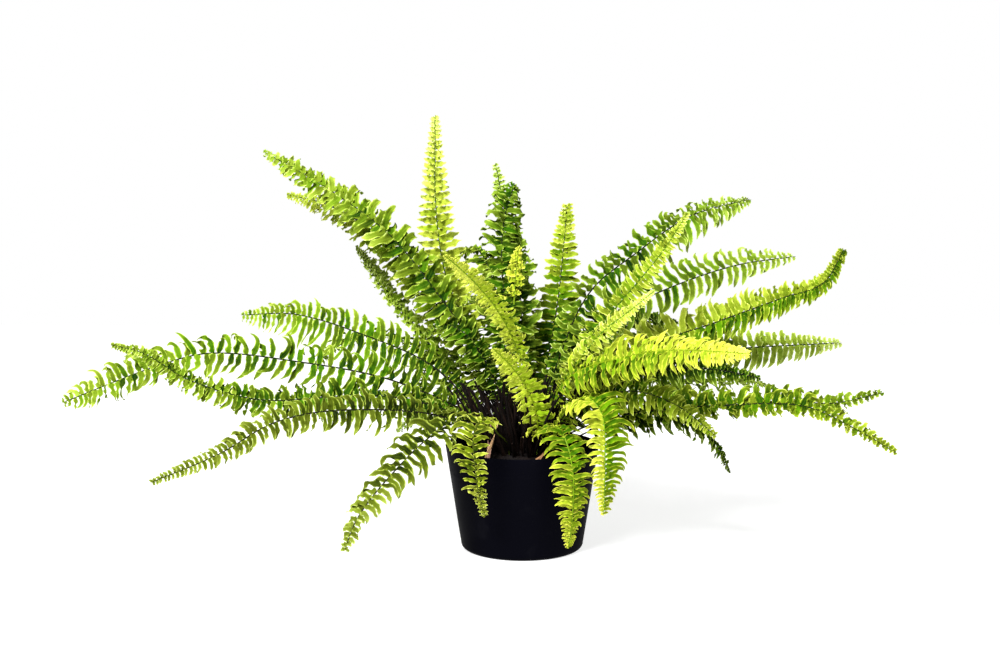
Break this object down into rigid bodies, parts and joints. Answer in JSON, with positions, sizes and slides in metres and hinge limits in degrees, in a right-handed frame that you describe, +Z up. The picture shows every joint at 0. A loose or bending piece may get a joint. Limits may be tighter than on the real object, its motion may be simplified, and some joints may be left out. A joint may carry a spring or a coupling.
{
  "type": "potted boston fern",
  "caption": "Boston fern with long arching fronds of narrow leaflets, rooted in a round tapered nursery pot.",
  "frame": {"origin": "middle of the pot's foot, on the surface that the pot stands on", "axes": "+Z up, +X to the right across the plant's widest spread, -Y towards the viewer"},
  "size_m": [0.9659, 0.5794, 0.5047],
  "materials": {
    "pot_plastic": "near-black satin plastic",
    "soil": "damp crumbly potting soil",
    "stalk_bases": "rough dark brown stalk bases",
    "dry_leaf": "dull dry brown leaf",
    "leaf_young": "soft yellow young leaf",
    "leaf_light": "soft yellow-green leaf",
    "leaf_green": "satin green leaf",
    "leaf_dark": "satin dark green leaf",
    "leaf_olive": "dull olive old leaf"
  },
  "bodies": {
    "root": {"pot": "pot_plastic", "soil": "soil", "crown": "stalk_bases", "dry_leaf_tan": "dry_leaf", "dry_leaf_brown": "dry_leaf", "dry_leaf_pink": "dry_leaf", "frond_hanging_front": "leaf_light", "frond_hanging_right": "leaf_light", "frond_hanging_left": "leaf_light", "frond_front_yellow_low": "leaf_young", "frond_front_yellow_high": "leaf_young", "frond_right_yellow_front": "leaf_young", "frond_erect_left": "leaf_light", "frond_upper_left_long": "leaf_green", "frond_left_longest": "leaf_green", "frond_left_upper": "leaf_green", "frond_right_curled_tip": "leaf_light", "frond_right_high": "leaf_dark", "frond_upper_right_dark": "leaf_dark", "frond_upper_right_light": "leaf_light", "frond_erect_right": "leaf_light", "frond_top_leaning": "leaf_dark", "frond_top_middle": "leaf_dark", "frond_top_curled": "leaf_green", "frond_top_broad": "leaf_dark", "frond_top_young": "leaf_young", "frond_upper_left_under": "leaf_light", "frond_upper_left_edge": "leaf_green", "frond_right_young": "leaf_light", "frond_right_level": "leaf_green", "frond_right_dark_under": "leaf_dark", "frond_lower_right_far": "leaf_green", "frond_lower_right_near": "leaf_light", "frond_lower_right_arched": "leaf_dark", "frond_lower_right_light": "leaf_light", "frond_left_twisted": "leaf_olive", "frond_lower_left_long": "leaf_olive", "frond_lower_left_front": "leaf_olive", "frond_inner_left": "leaf_dark", "frond_inner_right": "leaf_dark", "frond_low_right": "leaf_dark", "frond_low_back": "leaf_dark", "frond_low_left": "leaf_dark", "frond_back_1": "leaf_green", "frond_back_2": "leaf_dark", "frond_back_3": "leaf_green", "frond_back_4": "leaf_olive", "frond_back_5": "leaf_green", "frond_back_6": "leaf_light", "frond_back_7": "leaf_dark", "frond_back_8": "leaf_green"}
  },
  "joints": []
}
